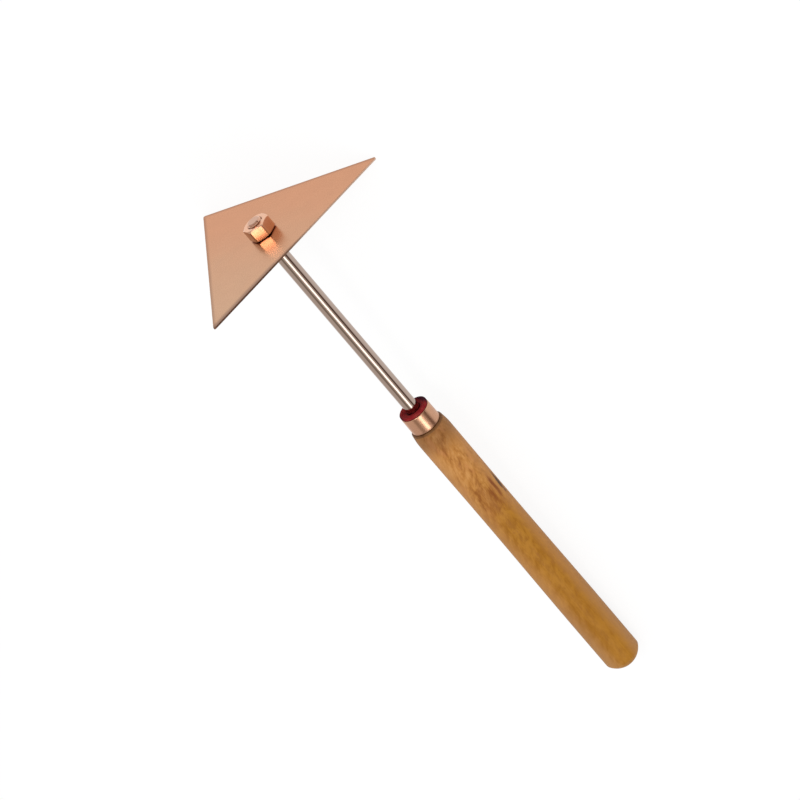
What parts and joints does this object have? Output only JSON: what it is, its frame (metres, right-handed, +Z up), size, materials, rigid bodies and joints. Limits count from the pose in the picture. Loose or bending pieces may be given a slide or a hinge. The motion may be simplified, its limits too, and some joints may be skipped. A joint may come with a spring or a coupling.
{
  "type": "triangular scraper",
  "caption": "Hand scraper: flat triangular plate blade with ground edges, clamped by hex nuts square across a long round shank set in a turned wooden handle behind a metal ferrule.",
  "frame": {"origin": "centre of the bounding box's base: the ground under the middle of the tool as it lies at rest", "axes": "+X along the tool's length towards the blade, with the shank's axis rising 4.332 degrees from it, +Y across the tool along the blade's lowest edge, +Z up through the blade's third corner"},
  "size_m": [0.4246, 0.1502, 0.1302],
  "materials": {
    "blade": "satin copper bronze, lightly polished",
    "nut": "bright turned bronze",
    "shank": "polished rod with a warm tint",
    "ferrule": "polished copper tube",
    "bush": "dark red, semi-gloss",
    "handle": "varnished, brown orange with darker streaks"
  },
  "bodies": {
    "tool": {"handle": "handle", "ferrule": "ferrule", "collar_bush": "bush", "shank": "shank", "back_nut": "nut"},
    "blade": {"blade": "blade"},
    "nut": {"blade_nut": "nut"}
  },
  "joints": [
    {"name": "blade_turn", "type": "hinge", "parent": "tool", "child": "blade", "pos_m": [0.19905, 0, 0.04373], "axis": [0.9971, 0, 0.0755], "continuous": true},
    {"name": "nut_slacken", "type": "hinge", "parent": "tool", "child": "nut", "pos_m": [0.20553, 0, 0.04422], "axis": [0.9971, 0, 0.0755], "range_deg": [0, 90]}
  ]
}
